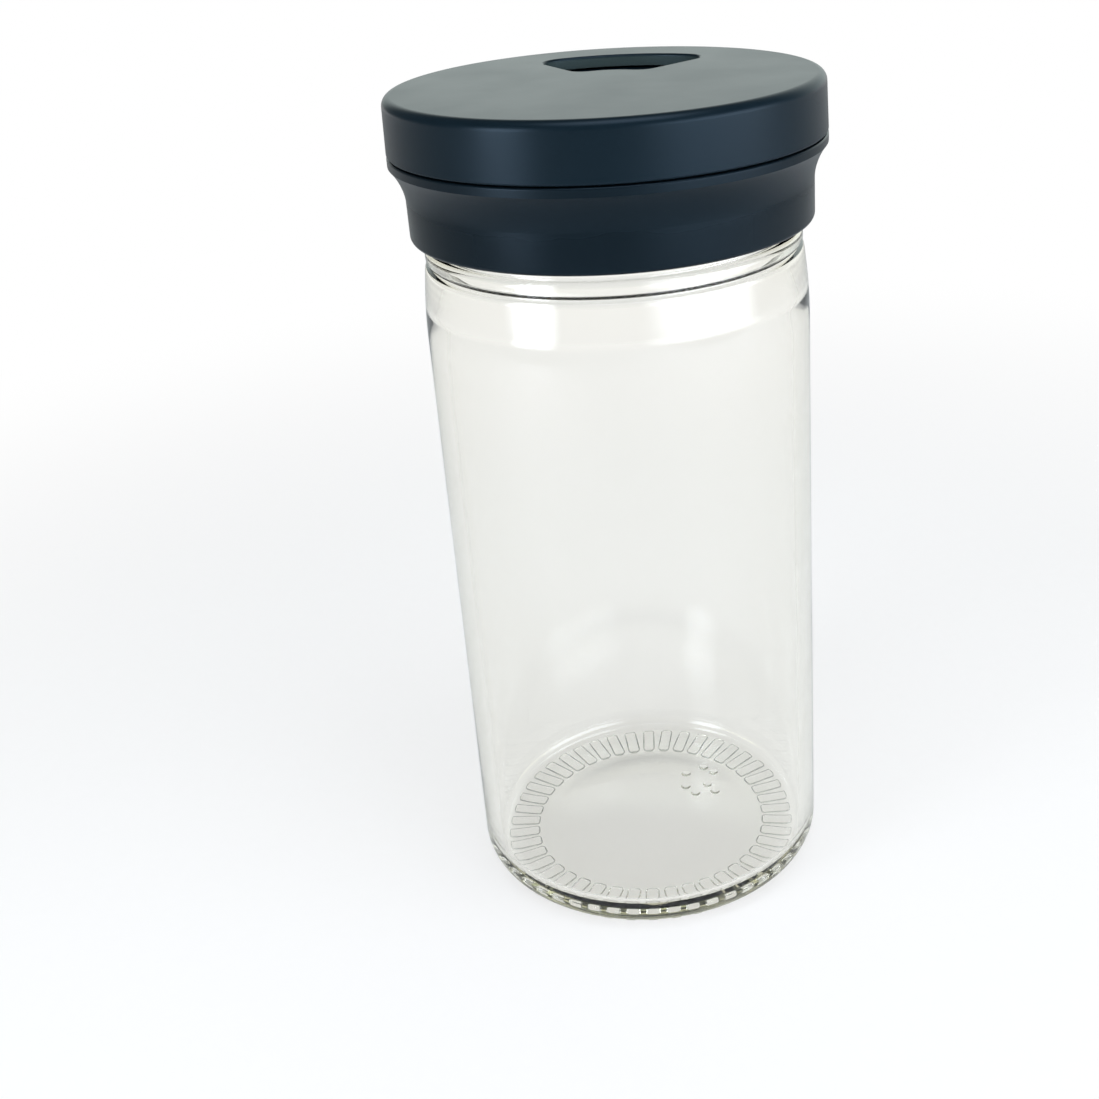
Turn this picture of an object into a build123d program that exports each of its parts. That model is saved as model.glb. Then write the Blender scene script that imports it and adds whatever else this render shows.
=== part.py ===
from build123d import *
from math import cos, degrees, radians, sin
import os

# A clear glass spice jar with a matt black plastic lid.
# The lid is a screw collar that carries a sifter deck, and a flat cap that turns on it.
# The origin is the centre of the base, +Z is up and the cap's window is towards +Y.
# All lengths are in millimetres and all angles in degrees.

# Glass body
body_diameter = 50.0
glass_height = 107.5
wall_thickness = 2.2
floor_height = 3.3
floor_crown = 0.45
heel_radius = 3.5
inner_heel_radius = 2.0
push_up_margin = 8.5
push_up_depth = 1.3
shoulder_length = 12.0
shoulder_drop = 0.65
shoulder_blend_radius = 52.0
shoulder_corner_radius = 0.9

# Glass neck and finish, stepped in from the body
finish_inset = 2.1
finish_wall = 2.3
bead_inset = 0.8
bead_height = 1.8
bead_corner_radius = 0.8
bead_drop = 1.25
groove_depth = 0.75
groove_height = 0.7
groove_corner_radius = 0.3
neck_corner_radius = 0.4
rim_outer_radius = 0.9
rim_inner_radius = 0.7
inner_shoulder_length = 8.0
inner_shoulder_radius = 5.0

# Ribbed bearing ring under the base
rib_count = 44
rib_height = 0.35
rib_width = 1.9
rib_inner_margin = 0.5
rib_outer_margin = 2.3

# Round mould marks in the push-up, in rows at shares of its radius
mark_diameter = 1.5
mark_height = 0.3
mark_row_shares = (0.5, 0.68, 0.87)
mark_row_angles = ((38.0, 54.0), (32.0, 43.0, 66.0), (52.0, 60.0))

# Screw thread, one start, right-hand
thread_pitch = 4.5
thread_turns = 1.25
thread_height = 1.0
thread_root_width = 2.2
thread_crest_width = 1.0
thread_play = 0.05
thread_clearance = 0.25
thread_bite = 0.3
thread_below_rim = 8.9
collar_thread_height = 0.95
collar_thread_root_width = 1.9
collar_thread_crest_width = 0.9

# Sealing ring
gasket_thickness = 1.0
gasket_wall_gap = 0.05
gasket_overhang = 0.4
seat_gap = 0.05

# Screw collar
deck_thickness = 1.6
drum_wall = 1.85
drum_edge_radius = 0.4
flange_height = 1.1
flange_edge_radius = 0.25
cove_height = 4.4
cove_radius = 7.0
band_wall = 1.6
band_height = 4.95
band_edge_radius = 0.5
bore_edge_radius = 0.4

# Turning cap
cap_wall = 1.35
cap_height = 7.0
cap_draft = 0.2
cap_top_thickness = 1.5
cap_edge_radius = 1.2
cap_foot_radius = 0.25
cap_running_gap = 0.15
cap_deck_gap = 0.3
seam_gap = 0.2

# Snap ring that keeps the cap on the collar
snap_depth = 0.45
snap_height = 0.9
snap_slope = 0.2
snap_foot = 0.15
snap_side_gap = 0.15
snap_lift_gap = 0.25

# Window in the cap, at shares of the drum's radius, and the deck's pour opening
window_inner_share = 0.27
window_outer_share = 0.76
window_half_angle = 36.5
window_inner_corner = 2.0
window_outer_corner = 3.0
window_angle = 90.0
pour_margin = 0.8
zone_count = 3
zone_angle = 360.0 / zone_count

# Sifter holes, sized as a share of the window's length, in rows from the axis outwards
sifter_hole_share = 0.235
sifter_row_counts = (3, 4, 5)
sifter_inner_margin = 0.6

# Stop lug under the cap and its channel in the deck
stop_margin = 3.5
stop_width = 1.4
stop_length = 2.2
stop_depth = 0.5
stop_side_gap = 0.35
stop_floor_gap = 0.3
stop_angle = 270.0

# Click nub under the cap and the three dimples in the deck
click_margin = 1.3
click_ball_diameter = 1.6
click_nub_height = 0.25
click_dimple_depth = 0.2

# Cuts run past the faces that they open by this much
overrun = 1.0

# Heights of the stack, from the base up
body_radius = body_diameter / 2
inner_radius = body_radius - wall_thickness
rim_z = glass_height
gasket_z = rim_z + seat_gap
deck_under_z = gasket_z + gasket_thickness + seat_gap
deck_top_z = deck_under_z + deck_thickness
cap_under_z = deck_top_z + cap_deck_gap
cap_top_z = cap_under_z + cap_top_thickness
cap_foot_z = cap_top_z - cap_height
flange_top_z = cap_foot_z - seam_gap
flange_low_z = flange_top_z - flange_height
cove_low_z = flange_low_z - cove_height
collar_foot_z = cove_low_z - band_height

# Radii, from the body outwards to the cap
finish_radius = body_radius - finish_inset
mouth_radius = finish_radius - finish_wall
push_up_radius = body_radius - push_up_margin
collar_bore_radius = finish_radius + thread_height + thread_clearance
band_radius = collar_bore_radius + band_wall
drum_radius = collar_bore_radius + drum_wall
cap_bore_radius = drum_radius + cap_running_gap
cap_radius = cap_bore_radius + cap_wall
snap_radius = cap_bore_radius - snap_depth
window_inner_radius = drum_radius * window_inner_share
window_outer_radius = drum_radius * window_outer_share
sifter_hole_radius = (window_outer_radius - window_inner_radius) * sifter_hole_share / 2
stop_radius = drum_radius - stop_margin
click_radius = drum_radius - click_margin


def section(*edges):
    """Face in the XZ plane from edges drawn as (radius, height)."""
    return Plane.XZ * make_face(edges)


def corner_line(corners):
    """Open outline through (radius, height, corner radius), ends without a corner."""
    points = [(radius, height) for radius, height, _ in corners]
    return FilletPolyline(*points, radius=[corner for _, _, corner in corners[1:-1]])


def turned(corners):
    """Solid of revolution about Z from closed corners (radius, height, corner radius)."""
    points = [(radius, height) for radius, height, _ in corners]
    outline = FilletPolyline(*points, radius=[corner for _, _, corner in corners], close=True)
    return revolve(section(*outline.edges()), axis=Axis.Z)


def dome_radius(half_width, rise):
    """Radius of the sphere that rises by rise over half_width."""
    return (half_width**2 + rise**2) / (2 * rise)


def sector(inner, outer, low_angle, high_angle):
    """Flat ring sector about Z between two angles."""
    sweep_angle = high_angle - low_angle
    edges = [
        CenterArc((0, 0), outer, low_angle, sweep_angle),
        CenterArc((0, 0), inner, low_angle, sweep_angle),
        Line(polar(inner, low_angle), polar(outer, low_angle)),
        Line(polar(inner, high_angle), polar(outer, high_angle)),
    ]
    return make_face(edges)


def window_outline(middle_angle, margin):
    """Rounded sector of the cap's window, drawn in from its edge by the margin."""
    inner = window_inner_radius + margin
    outer = window_outer_radius - margin
    middle = (inner + outer) / 2
    half_angle = window_half_angle - degrees(margin / middle)
    face = sector(inner, outer, middle_angle - half_angle, middle_angle + half_angle)
    near = [v for v in face.vertices() if Vector(*v).length < middle]
    face = fillet(near, window_inner_corner - margin)
    far = [v for v in face.vertices() if Vector(*v).length > middle]
    return fillet(far, window_outer_corner - margin)


def polar(radius, angle, height=0):
    """Point at a radius and an angle about Z."""
    return (radius * cos(radians(angle)), radius * sin(radians(angle)), height)


def helical_rib(radius, start_z, root_width, crest_width, height, outward):
    """Screw thread rib on a wall of the given radius, sunk into it by the bite."""
    side = 1 if outward else -1
    path = Helix(thread_pitch, thread_pitch * thread_turns, radius, center=(0, 0, start_z))
    frame = Plane(origin=path @ 0, x_dir=(side, 0, 0), z_dir=path % 0)
    root = root_width + (root_width - crest_width) * thread_bite / height
    profile = Polyline(
        (-thread_bite, -root / 2),
        (height, -crest_width / 2),
        (height, crest_width / 2),
        (-thread_bite, root / 2),
        close=True,
    )
    return sweep(frame * make_face(profile.edges()), path=path, is_frenet=True)


def thread_start_z():
    """Height of the lower end of the glass thread's middle line."""
    return rim_z - thread_below_rim


def glass_section():
    """Half section of the glass from the crown of the floor to the push-up."""
    inner_floor_edge = inner_radius - inner_heel_radius
    bead_top_z = collar_foot_z - bead_drop
    bead_low_z = bead_top_z - bead_height
    groove_z = bead_low_z - groove_height / 2
    shoulder_z = bead_low_z - groove_height
    shoulder_radius = body_radius - shoulder_drop
    blend_z = shoulder_z - shoulder_length / 2
    inner_shoulder_z = bead_top_z - inner_shoulder_length
    bead_radius = body_radius - bead_inset
    wall = corner_line(
        [
            (inner_floor_edge, floor_height, 0),
            (inner_radius, floor_height, inner_heel_radius),
            (inner_radius, inner_shoulder_z, inner_shoulder_radius),
            (mouth_radius, bead_top_z, inner_shoulder_radius),
            (mouth_radius, rim_z, rim_inner_radius),
            (finish_radius, rim_z, rim_outer_radius),
            (finish_radius, bead_top_z, neck_corner_radius),
            (bead_radius, bead_top_z, bead_corner_radius),
            (bead_radius, bead_low_z, bead_corner_radius),
            (bead_radius - groove_depth, groove_z, groove_corner_radius),
            (shoulder_radius, shoulder_z, shoulder_corner_radius),
            (body_radius, blend_z, shoulder_blend_radius),
            (body_radius, rib_height, heel_radius),
            (push_up_radius, rib_height, 0),
        ]
    )
    crown_z = floor_height + floor_crown
    roof_z = rib_height + push_up_depth
    floor_radius = dome_radius(inner_floor_edge, floor_crown)
    roof_radius = dome_radius(push_up_radius, push_up_depth)
    floor_arc = RadiusArc((0, crown_z), (inner_floor_edge, floor_height), floor_radius)
    roof_arc = RadiusArc((0, roof_z), (push_up_radius, rib_height), roof_radius)
    axis_line = Line((0, roof_z), (0, crown_z))
    return section(*wall.edges(), floor_arc, roof_arc, axis_line)


def base_ribs():
    """Radial ribs on the bearing ring, which the jar stands on."""
    inner, outer = push_up_radius + rib_inner_margin, body_radius - rib_outer_margin
    block_height = rib_height + heel_radius / 2
    rib = Pos((inner + outer) / 2, 0, block_height / 2) * Box(outer - inner, rib_width, block_height)
    return [Rot(0, 0, 360 * i / rib_count) * rib for i in range(rib_count)]


def mould_marks():
    """Round raised dots in the push-up, in three short rows."""
    roof_radius = dome_radius(push_up_radius, push_up_depth)
    marks = []
    for share, angles in zip(mark_row_shares, mark_row_angles):
        row_radius = push_up_radius * share
        fall = roof_radius - (roof_radius**2 - row_radius**2) ** 0.5
        roof_z = rib_height + push_up_depth - fall
        for angle in angles:
            ball_radius = dome_radius(mark_diameter / 2, mark_height)
            centre_z = roof_z - mark_height + ball_radius
            marks.append(Pos(*polar(row_radius, angle, centre_z)) * Sphere(ball_radius))
    return marks


def glass_jar():
    """Moulded jar: body, shoulder, bead, finish with its thread, and ribbed base."""
    jar = revolve(glass_section(), axis=Axis.Z)
    thread = helical_rib(
        finish_radius, thread_start_z(), thread_root_width, thread_crest_width, thread_height, True
    )
    return jar + thread + base_ribs() + mould_marks()


def mouth_gasket():
    """Flat ring between the glass rim and the deck."""
    outer = collar_bore_radius - gasket_wall_gap
    inner = mouth_radius - gasket_overhang
    ring = Circle(outer) - Circle(inner)
    return extrude(Pos(0, 0, gasket_z) * ring, gasket_thickness)


def collar_section():
    """Half section of the collar: deck, drum, snap groove, flange, cove and band."""
    groove_radius = snap_radius - snap_side_gap
    groove_top_z = cap_foot_z + snap_foot + snap_height + snap_lift_gap
    shell = corner_line(
        [
            (band_radius, cove_low_z, 0),
            (band_radius, collar_foot_z, band_edge_radius),
            (collar_bore_radius, collar_foot_z, bore_edge_radius),
            (collar_bore_radius, deck_under_z, 0),
            (0, deck_under_z, 0),
            (0, deck_top_z, 0),
            (drum_radius, deck_top_z, drum_edge_radius),
            (drum_radius, groove_top_z, 0),
            (groove_radius, groove_top_z, 0),
            (groove_radius, flange_top_z, 0),
            (cap_radius, flange_top_z, flange_edge_radius),
            (cap_radius, flange_low_z, 0),
        ]
    )
    cove = RadiusArc((cap_radius, flange_low_z), (band_radius, cove_low_z), -cove_radius)
    return section(*shell.edges(), cove)


def sifter_holes():
    """Round holes of the sprinkle zone, in curved rows that keep inside the window."""
    middle_angle = window_angle + zone_angle
    edge = sifter_hole_radius + pour_margin
    radius = window_inner_radius + edge + sifter_inner_margin
    row_step = (window_outer_radius - edge - radius) / (len(sifter_row_counts) - 1)
    holes = []
    for count in sifter_row_counts:
        half_angle = window_half_angle - degrees(edge / radius)
        for i in range(count):
            angle = middle_angle + half_angle * (2 * i / (count - 1) - 1)
            holes.append(Pos(*polar(radius, angle)) * Circle(sifter_hole_radius))
        radius += row_step
    return holes


def through_deck(outline):
    """Straight cut through the deck from a flat outline."""
    return extrude(Pos(0, 0, deck_under_z - overrun) * outline, deck_thickness + 2 * overrun)


def stop_channel():
    """Arc channel in the deck whose ends stop the cap's lug."""
    half_width = stop_width / 2 + stop_side_gap
    end_angle = degrees((stop_length / 2 + stop_side_gap) / stop_radius)
    low_angle = stop_angle - end_angle
    high_angle = stop_angle + 2 * zone_angle + end_angle
    outline = sector(stop_radius - half_width, stop_radius + half_width, low_angle, high_angle)
    depth = stop_depth + stop_floor_gap
    return extrude(Pos(0, 0, deck_top_z - depth) * outline, depth + overrun)


def click_ball(angle, low_z):
    """Ball of the click stop, with its lowest point at the given height."""
    centre_z = low_z + click_ball_diameter / 2
    return Pos(*polar(click_radius, angle, centre_z)) * Sphere(click_ball_diameter / 2)


def screw_collar():
    """Collar that screws on the glass and carries the sifter deck under the cap."""
    collar = revolve(collar_section(), axis=Axis.Z)
    thread = helical_rib(
        collar_bore_radius,
        thread_start_z() - (thread_root_width + collar_thread_crest_width) / 2 - thread_play,
        collar_thread_root_width,
        collar_thread_crest_width,
        collar_thread_height,
        False,
    )
    cuts = [through_deck(hole) for hole in sifter_holes()]
    cuts.append(through_deck(window_outline(window_angle + 2 * zone_angle, pour_margin)))
    cuts.append(stop_channel())
    dimple_z = deck_top_z - click_dimple_depth
    cuts += [click_ball(window_angle + i * zone_angle, dimple_z) for i in range(zone_count)]
    return collar + thread - cuts


def rotary_cap():
    """Flat cap with its window, skirt, snap ring, stop lug and click nub."""
    snap_low_z = cap_foot_z + snap_foot
    snap_top_z = snap_low_z + snap_height
    cap = turned(
        [
            (0, cap_top_z, 0),
            (cap_radius - cap_draft, cap_top_z, cap_edge_radius),
            (cap_radius, cap_foot_z, cap_foot_radius),
            (cap_bore_radius, cap_foot_z, 0),
            (cap_bore_radius, snap_low_z, 0),
            (snap_radius, snap_low_z + snap_slope, 0),
            (snap_radius, snap_top_z - snap_slope, 0),
            (cap_bore_radius, snap_top_z, 0),
            (cap_bore_radius, cap_under_z, 0),
            (0, cap_under_z, 0),
        ]
    )
    window_foot = Pos(0, 0, cap_under_z - overrun) * window_outline(window_angle, 0)
    window = extrude(window_foot, cap_top_thickness + 2 * overrun)
    lug_height = cap_deck_gap + stop_depth + cap_top_thickness / 2
    lug_z = cap_under_z - cap_deck_gap - stop_depth + lug_height / 2
    lug_place = Pos(*polar(stop_radius, stop_angle, lug_z)) * Rot(0, 0, stop_angle)
    lug = lug_place * Box(stop_width, stop_length, lug_height)
    nub = click_ball(window_angle, cap_under_z - click_nub_height)
    return cap - window + lug + nub


pieces = {
    "glass_jar": glass_jar,
    "mouth_gasket": mouth_gasket,
    "screw_collar": screw_collar,
    "rotary_cap": rotary_cap,
}

os.makedirs("parts", exist_ok=True)
for name, make_piece in pieces.items():
    piece = make_piece()
    print(name, len(piece.solids()), "solid", round(piece.volume), "mm3")
    export_step(piece, f"parts/{name}.step")
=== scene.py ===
"""Looks of the clear glass spice jar and its matt black turning lid."""

import logging
import math
from collections.abc import Callable
from dataclasses import dataclass, field
from enum import Enum

import bpy
from mathutils import Matrix, Vector


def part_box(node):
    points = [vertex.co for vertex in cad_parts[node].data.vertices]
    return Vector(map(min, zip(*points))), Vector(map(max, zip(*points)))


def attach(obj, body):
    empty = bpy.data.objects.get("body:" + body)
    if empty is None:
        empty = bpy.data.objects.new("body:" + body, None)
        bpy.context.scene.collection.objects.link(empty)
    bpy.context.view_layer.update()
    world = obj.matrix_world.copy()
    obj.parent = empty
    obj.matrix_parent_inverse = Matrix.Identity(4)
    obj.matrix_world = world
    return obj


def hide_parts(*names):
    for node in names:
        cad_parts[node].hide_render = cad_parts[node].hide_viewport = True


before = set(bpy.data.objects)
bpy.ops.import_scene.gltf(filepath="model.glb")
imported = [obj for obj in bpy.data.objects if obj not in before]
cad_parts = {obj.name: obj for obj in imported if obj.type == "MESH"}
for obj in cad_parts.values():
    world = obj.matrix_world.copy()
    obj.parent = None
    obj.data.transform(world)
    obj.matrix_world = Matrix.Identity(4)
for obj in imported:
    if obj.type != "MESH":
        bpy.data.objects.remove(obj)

log = logging.getLogger("spice_jar")

Piece = bpy.types.Object
Tree = bpy.types.NodeTree
Node = bpy.types.Node
Socket = bpy.types.NodeSocket

FULL_TURN = 2 * math.pi
SPIN_AXIS = (0, 0, -1)
PHOTO_SIDE = 1099

# Points nearer than these, in metres, count as one: on a drawn line, on a turned solid and
# after a join
SAME_POINT = 1e-7
SAME_PLACE = 1e-6
AFTER_JOIN = 2e-6
FLAT = 0.9999

# How far past an opening its rims are still looked for, in millimetres
RIM_REACH = 0.2

# Sharpest turn between faces, in degrees, that still shades smooth
SHARPEST_SMOOTH = 32.0


# Small tools for lengths, colours and selections


def mm(length: float) -> float:
    """Millimetres as metres."""
    return length * 0.001


def linear(hex_code: str) -> tuple[float, float, float, float]:
    """Linear colour of an sRGB hex code.

    Args:
        hex_code: Six hex digits.

    Returns:
        Red, green, blue and a full alpha, as Blender's sockets take them.
    """
    shares = [int(hex_code[i : i + 2], 16) / 255 for i in (0, 2, 4)]
    red, green, blue = (
        s / 12.92 if s <= 0.04045 else ((s + 0.055) / 1.055) ** 2.4 for s in shares
    )
    return red, green, blue, 1.0


def polar(radius: float, angle: float, height: float = 0.0) -> Vector:
    """Point in metres from a radius and a height in millimetres and an angle in degrees."""
    turn = math.radians(angle)
    return Vector((mm(radius) * math.cos(turn), mm(radius) * math.sin(turn), mm(height)))


def deselect_everything() -> None:
    """Leaves object mode with nothing selected."""
    if bpy.context.object and bpy.context.object.mode != "OBJECT":
        bpy.ops.object.mode_set(mode="OBJECT")
    bpy.ops.object.select_all(action="DESELECT")


def work_on(piece: Piece) -> None:
    """Makes a piece the only selected and the active one."""
    deselect_everything()
    piece.select_set(True)
    bpy.context.view_layer.objects.active = piece


def edit(piece: Piece, mode: str = "VERT") -> None:
    """Enters edit mode on a piece.

    Args:
        piece: The mesh to edit.
        mode: VERT, EDGE or FACE.
    """
    work_on(piece)
    bpy.ops.object.mode_set(mode="EDIT")
    bpy.ops.mesh.select_mode(type=mode)


def leave_edit() -> None:
    """Goes back to object mode."""
    bpy.ops.object.mode_set(mode="OBJECT")


def start_line(name: str, point: Vector) -> Piece:
    """Starts a drawn line: a small plane merged to one selected vertex.

    Args:
        name: Name of the new object.
        point: Where the line starts, in metres.

    Returns:
        The object, in edit mode with its only vertex selected.
    """
    deselect_everything()
    bpy.ops.mesh.primitive_plane_add(size=mm(1))
    piece = bpy.context.object
    piece.name = piece.data.name = name
    bpy.ops.object.mode_set(mode="EDIT")
    bpy.ops.mesh.select_mode(type="VERT")
    bpy.ops.mesh.select_all(action="SELECT")
    bpy.ops.mesh.merge(type="CENTER")
    bpy.ops.transform.translate(value=point)
    return piece


def extrude_by(step: Vector) -> None:
    """Extrudes the selection by a step in metres."""
    bpy.ops.mesh.extrude_region_move(TRANSFORM_OT_translate={"value": step})


def mark(piece: Piece, mode: str, wanted: Callable) -> int:
    """Selects the points, edges or faces that a test picks, and stays in edit mode.

    Args:
        piece: The mesh to mark.
        mode: VERT, EDGE or FACE.
        wanted: Function of one point, edge or face that says whether to take it.

    Returns:
        How many are selected.
    """
    edit(piece, mode)
    bpy.ops.mesh.select_all(action="DESELECT")
    leave_edit()
    mesh = piece.data
    items = {"VERT": mesh.vertices, "EDGE": mesh.edges, "FACE": mesh.polygons}[mode]
    count = 0
    for item in items:
        item.select = bool(wanted(item))
        count += item.select
    bpy.ops.object.mode_set(mode="EDIT")
    return count


def mark_edges(piece: Piece, wanted: Callable[[Vector, Vector], bool]) -> int:
    """Selects the edges that a test of their two ends picks, and says how many."""
    return mark(piece, "EDGE", lambda e: wanted(*(piece.data.vertices[i].co for i in e.vertices)))


def bevel_marked(size: float, segments: int) -> None:
    """Rounds the marked edges by a size in millimetres and leaves edit mode."""
    bpy.ops.mesh.bevel(offset=mm(size), segments=segments, affect="EDGES", clamp_overlap=False)
    leave_edit()


def round_rims(piece: Piece, height: float, reach: float, size: float, segments: int) -> None:
    """Rounds the rims of the openings in a flat face, with lengths in millimetres.

    Args:
        piece: The mesh, in object mode.
        height: Height of the flat face.
        reach: Radius that the openings reach out to.
        size: How far the rounding cuts back.
        segments: How many steps it is drawn in.
    """
    uses: dict[tuple[int, int], int] = {}
    for face in piece.data.polygons:
        if abs(face.center.z - mm(height)) < SAME_PLACE and face.normal.z > FLAT:
            for key in face.edge_keys:
                uses[key] = uses.get(key, 0) + 1
    limit = mm(reach + RIM_REACH)

    def on_rim(edge: bpy.types.MeshEdge) -> bool:
        """Whether an edge has the flat face on one side only and lies near enough."""
        points = (piece.data.vertices[i].co for i in edge.vertices)
        return uses.get(edge.key, 0) == 1 and all(p.xy.length < limit for p in points)

    log.info("%s: %d rim edges rounded", piece.name, mark(piece, "EDGE", on_rim))
    bevel_marked(size, segments)


def edit_all(piece: Piece) -> None:
    """Enters edit mode on a piece with all of it selected."""
    edit(piece)
    bpy.ops.mesh.select_all(action="SELECT")


def close_up(piece: Piece, threshold: float = SAME_PLACE) -> None:
    """Merges doubles and turns every face outwards."""
    edit_all(piece)
    bpy.ops.mesh.remove_doubles(threshold=threshold)
    bpy.ops.mesh.normals_make_consistent(inside=False)
    leave_edit()


def apply_modifier(piece: Piece, kind: str, **settings) -> None:
    """Adds a modifier, sets it and applies it.

    Args:
        piece: The mesh to finish.
        kind: Blender's type of modifier.
        settings: Values for the modifier's own properties.
    """
    work_on(piece)
    modifier = piece.modifiers.new(kind.title(), kind)
    for key, value in settings.items():
        setattr(modifier, key, value)
    bpy.ops.object.modifier_apply(modifier=modifier.name)


def combine(piece: Piece, tool: Piece, operation: str) -> None:
    """Cuts a tool out of a piece or fuses it on, and removes the tool.

    Args:
        piece: The piece that stays.
        tool: The closed mesh that cuts or joins.
        operation: DIFFERENCE or UNION.
    """
    apply_modifier(piece, "BOOLEAN", object=tool, operation=operation, solver="EXACT")
    mesh = tool.data
    bpy.data.objects.remove(tool)
    bpy.data.meshes.remove(mesh)


def join(pieces: list[Piece]) -> Piece:
    """Joins separate closed meshes to one object."""
    deselect_everything()
    for piece in pieces:
        piece.select_set(True)
    bpy.context.view_layer.objects.active = pieces[0]
    bpy.ops.object.join()
    return pieces[0]


def merge_flat_faces(piece: Piece, height: float) -> None:
    """Dissolves the fan of faces that lie flat at a height in millimetres."""
    level = mm(height)
    mark(piece, "FACE", lambda f: abs(f.center.z - level) < SAME_PLACE and abs(f.normal.z) > FLAT)
    bpy.ops.mesh.dissolve_limited(angle_limit=math.radians(1), use_dissolve_boundaries=False)
    leave_edit()


def dress(piece: Piece, material: bpy.types.Material) -> Piece:
    """Shades a finished piece smooth, with its flats kept flat, and gives it its material."""
    work_on(piece)
    bpy.ops.object.shade_smooth_by_angle(angle=math.radians(SHARPEST_SMOOTH))
    apply_modifier(piece, "WEIGHTED_NORMAL", mode="FACE_AREA", weight=50, keep_sharp=True)
    piece.data.materials.append(material)
    return piece


def add_block(place: Vector, length: float, width: float, height: float) -> Piece:
    """Block with its middle at a place and its sizes in millimetres, all applied."""
    deselect_everything()
    sizes = (mm(length), mm(width), mm(height))
    bpy.ops.mesh.primitive_cube_add(size=1, location=place, scale=sizes)
    bpy.ops.object.transform_apply()
    return bpy.context.object


def add_ball(place: Vector, radius: float, segments: int = 24, rings: int = 16) -> Piece:
    """Ball with its middle at a place and its radius in millimetres, all applied."""
    deselect_everything()
    bpy.ops.mesh.primitive_uv_sphere_add(
        segments=segments, ring_count=rings, radius=mm(radius), location=place
    )
    bpy.ops.object.transform_apply()
    return bpy.context.object


# Turned and swept shapes


@dataclass(frozen=True)
class Corner:
    """One corner of a half section, in millimetres, with the radius that rounds it."""

    radius: float
    height: float
    rounding: float = 0.0

    def place(self) -> Vector:
        """Place of the corner in the XZ plane, in metres."""
        return Vector((mm(self.radius), 0.0, mm(self.height)))


def hollow_corner(start: Corner, end: Corner, radius: float) -> Corner:
    """Corner whose rounding is an arc that bulges towards the axis.

    Args:
        start: Lower end of the arc.
        end: Upper end of the arc.
        radius: Radius of the arc.

    Returns:
        The meeting point of the arc's two end tangents, with the arc's radius.
    """
    dx, dz = end.radius - start.radius, end.height - start.height
    chord = math.hypot(dx, dz)
    reach = math.tan(math.asin(chord / 2 / radius)) / 2
    return Corner(
        (start.radius + end.radius) / 2 - dz * reach,
        (start.height + end.height) / 2 + dx * reach,
        radius,
    )


def dome_line(half_width: float, edge: float, crown: float, steps: int) -> list[Corner]:
    """Points of a shallow dome from its edge to just before the axis.

    Args:
        half_width: Radius of the dome's edge.
        edge: Height of the edge.
        crown: Height at the axis.
        steps: How many equal steps the dome is drawn in.

    Returns:
        The corners from the edge inwards, without the one on the axis.
    """
    rise = crown - edge
    ball = (half_width**2 + rise**2) / (2 * abs(rise))
    corners = []
    for i in range(steps):
        radius = half_width * (1 - i / steps)
        sag = ball - math.sqrt(ball**2 - radius**2)
        corners.append(Corner(radius, crown - math.copysign(sag, rise)))
    return corners


def rounding_segments(rounding: float, turn: float) -> int:
    """Segments of a rounding: one every 9 degrees, and 2 more on those over 2 mm."""
    return max(2, min(12, round(turn / math.radians(9)) + (2 if rounding > 2 else 0)))


def draw_half_section(name: str, corners: list[Corner]) -> Piece:
    """Draws a half section by extruding a vertex from corner to corner and rounding each.

    Args:
        name: Name of the new object.
        corners: The corners in order.

    Returns:
        The drawn line, in object mode.
    """
    places = [corner.place() for corner in corners]
    piece = start_line(name, places[0])
    for before, after in zip(places, places[1:]):
        extrude_by(after - before)
    for i, corner in enumerate(corners):
        if corner.rounding:
            after = places[(i + 1) % len(places)]
            round_corner(piece, places[i - 1], places[i], after, corner.rounding)
    leave_edit()
    return piece


def round_corner(piece: Piece, before: Vector, at: Vector, after: Vector, rounding: float) -> None:
    """Rounds one corner of a drawn line with a vertex bevel.

    Args:
        piece: The line, in edit mode.
        before: The corner before.
        at: The corner to round.
        after: The corner after.
        rounding: Radius in millimetres.
    """
    turn = (at - before).angle(after - at)
    mark(piece, "VERT", lambda vertex: (vertex.co - at).length < SAME_POINT)
    bpy.ops.mesh.bevel(
        offset_type="OFFSET",
        offset=mm(rounding) * math.tan(turn / 2),
        segments=rounding_segments(rounding, turn),
        profile=0.5,
        affect="VERTICES",
        clamp_overlap=False,
    )


def subdivide_runs(piece: Piece, longest: float) -> None:
    """Divides the straight runs of a drawn line so that none is longer than a length.

    Args:
        piece: The drawn line, in object mode.
        longest: Longest run in millimetres.
    """
    limit = mm(longest)
    while mark_edges(piece, lambda a, b: (a - b).length > limit):
        bpy.ops.mesh.subdivide(number_cuts=1)
    leave_edit()


def turn_section(piece: Piece, steps: int, closed: bool) -> None:
    """Spins a drawn half section round the jar's axis into a closed solid.

    Args:
        piece: The drawn line, in object mode.
        steps: Steps round the whole turn.
        closed: True where the last corner joins the first, as on a ring.
    """
    if closed:
        uses = [0] * len(piece.data.vertices)
        for edge in piece.data.edges:
            for i in edge.vertices:
                uses[i] += 1
        mark(piece, "VERT", lambda vertex: uses[vertex.index] == 1)
        bpy.ops.mesh.edge_face_add()
    edit_all(piece)
    bpy.ops.mesh.spin(steps=steps, angle=FULL_TURN, center=(0, 0, 0), axis=SPIN_AXIS)
    close_up(piece)


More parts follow.
